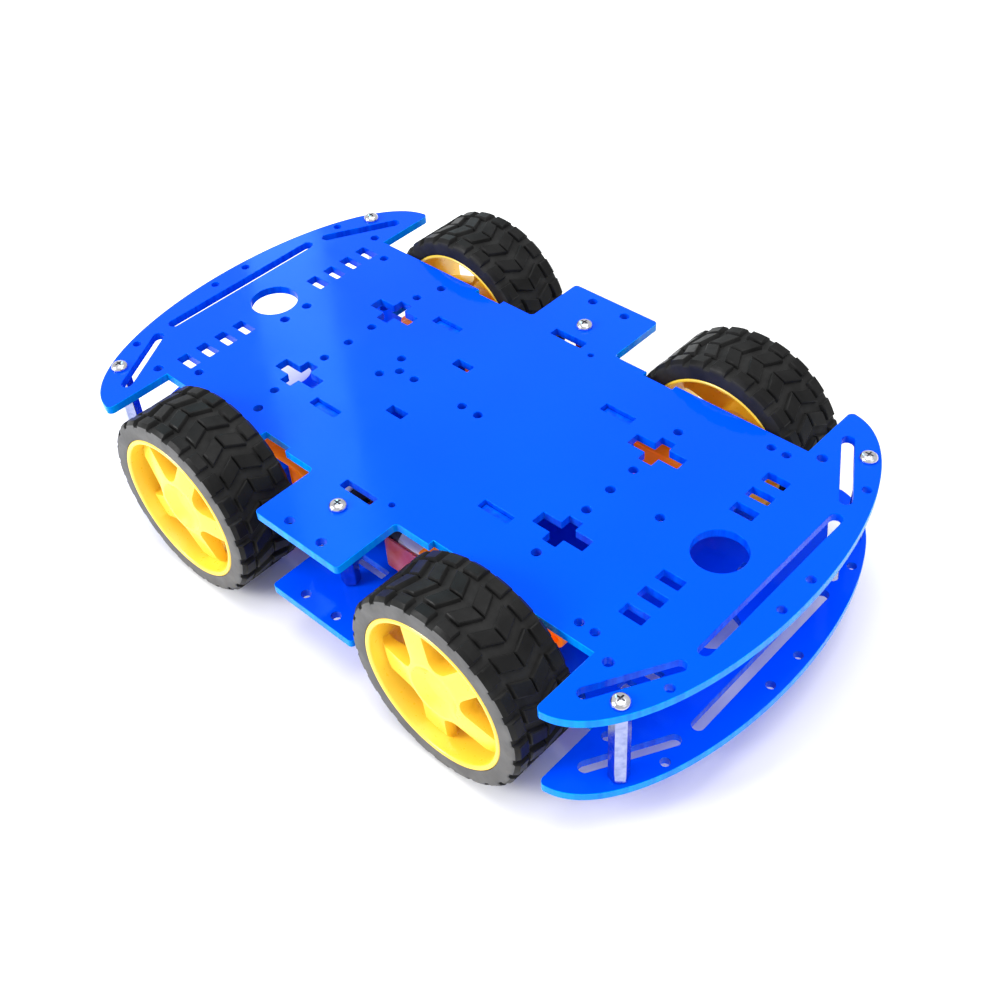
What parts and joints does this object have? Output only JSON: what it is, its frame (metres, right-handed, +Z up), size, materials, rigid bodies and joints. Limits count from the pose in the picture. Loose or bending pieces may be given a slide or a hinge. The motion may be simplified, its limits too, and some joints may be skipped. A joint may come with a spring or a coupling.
{
  "type": "wheeled robot chassis",
  "caption": "Two-deck acrylic robot car chassis on hexagonal standoffs, with a geared motor and a rubber-tyred wheel at each corner.",
  "frame": {"origin": "on the floor under the centre of the chassis, at the bottom centre of its bounding box", "axes": "+X towards the front bumper, +Y towards the left wheels, +Z up; the wheels turn about Y"},
  "size_m": [0.255, 0.1602, 0.066],
  "materials": {
    "blue_acrylic": "polished acrylic sheet, translucent at the cut edges",
    "nickel_plate": "bright nickel plate",
    "yellow_gearbox": "satin moulded plastic",
    "motor_steel": "drawn steel can",
    "clear_plastic": "clear moulded plastic",
    "black_tyre": "soft rubber",
    "yellow_rim": "satin moulded plastic",
    "white_shaft": "moulded nylon"
  },
  "bodies": {
    "chassis": {"upper_deck": "blue_acrylic", "lower_deck": "blue_acrylic", "front_left_standoff": "nickel_plate", "front_left_upper_screw": "nickel_plate", "front_left_lower_screw": "nickel_plate", "front_right_standoff": "nickel_plate", "front_right_upper_screw": "nickel_plate", "front_right_lower_screw": "nickel_plate", "mid_left_standoff": "nickel_plate", "mid_left_upper_screw": "nickel_plate", "mid_left_lower_screw": "nickel_plate", "mid_right_standoff": "nickel_plate", "mid_right_upper_screw": "nickel_plate", "mid_right_lower_screw": "nickel_plate", "rear_left_standoff": "nickel_plate", "rear_left_upper_screw": "nickel_plate", "rear_left_lower_screw": "nickel_plate", "rear_right_standoff": "nickel_plate", "rear_right_upper_screw": "nickel_plate", "rear_right_lower_screw": "nickel_plate", "front_left_inner_bracket": "blue_acrylic", "front_left_outer_bracket": "blue_acrylic", "front_left_gearbox": "yellow_gearbox", "front_left_motor": "motor_steel", "front_left_strap": "clear_plastic", "front_left_first_bolt": "nickel_plate", "front_left_second_bolt": "nickel_plate", "front_right_inner_bracket": "blue_acrylic", "front_right_outer_bracket": "blue_acrylic", "front_right_gearbox": "yellow_gearbox", "front_right_motor": "motor_steel", "front_right_strap": "clear_plastic", "front_right_first_bolt": "nickel_plate", "front_right_second_bolt": "nickel_plate", "rear_left_inner_bracket": "blue_acrylic", "rear_left_outer_bracket": "blue_acrylic", "rear_left_gearbox": "yellow_gearbox", "rear_left_motor": "motor_steel", "rear_left_strap": "clear_plastic", "rear_left_first_bolt": "nickel_plate", "rear_left_second_bolt": "nickel_plate", "rear_right_inner_bracket": "blue_acrylic", "rear_right_outer_bracket": "blue_acrylic", "rear_right_gearbox": "yellow_gearbox", "rear_right_motor": "motor_steel", "rear_right_strap": "clear_plastic", "rear_right_first_bolt": "nickel_plate", "rear_right_second_bolt": "nickel_plate"},
    "front_left_wheel": {"front_left_tyre": "black_tyre", "front_left_rim": "yellow_rim", "front_left_shaft": "white_shaft"},
    "front_right_wheel": {"front_right_tyre": "black_tyre", "front_right_rim": "yellow_rim", "front_right_shaft": "white_shaft"},
    "rear_left_wheel": {"rear_left_tyre": "black_tyre", "rear_left_rim": "yellow_rim", "rear_left_shaft": "white_shaft"},
    "rear_right_wheel": {"rear_right_tyre": "black_tyre", "rear_right_rim": "yellow_rim", "rear_right_shaft": "white_shaft"}
  },
  "joints": [
    {"name": "front_left_wheel_spin", "type": "hinge", "parent": "chassis", "child": "front_left_wheel", "pos_m": [0.0583, 0.0671, 0.033], "axis": [0, 1, 0], "continuous": true},
    {"name": "front_right_wheel_spin", "type": "hinge", "parent": "chassis", "child": "front_right_wheel", "pos_m": [0.0583, -0.0671, 0.033], "axis": [0, 1, 0], "continuous": true},
    {"name": "rear_left_wheel_spin", "type": "hinge", "parent": "chassis", "child": "rear_left_wheel", "pos_m": [-0.0583, 0.0671, 0.033], "axis": [0, 1, 0], "continuous": true},
    {"name": "rear_right_wheel_spin", "type": "hinge", "parent": "chassis", "child": "rear_right_wheel", "pos_m": [-0.0583, -0.0671, 0.033], "axis": [0, 1, 0], "continuous": true}
  ]
}
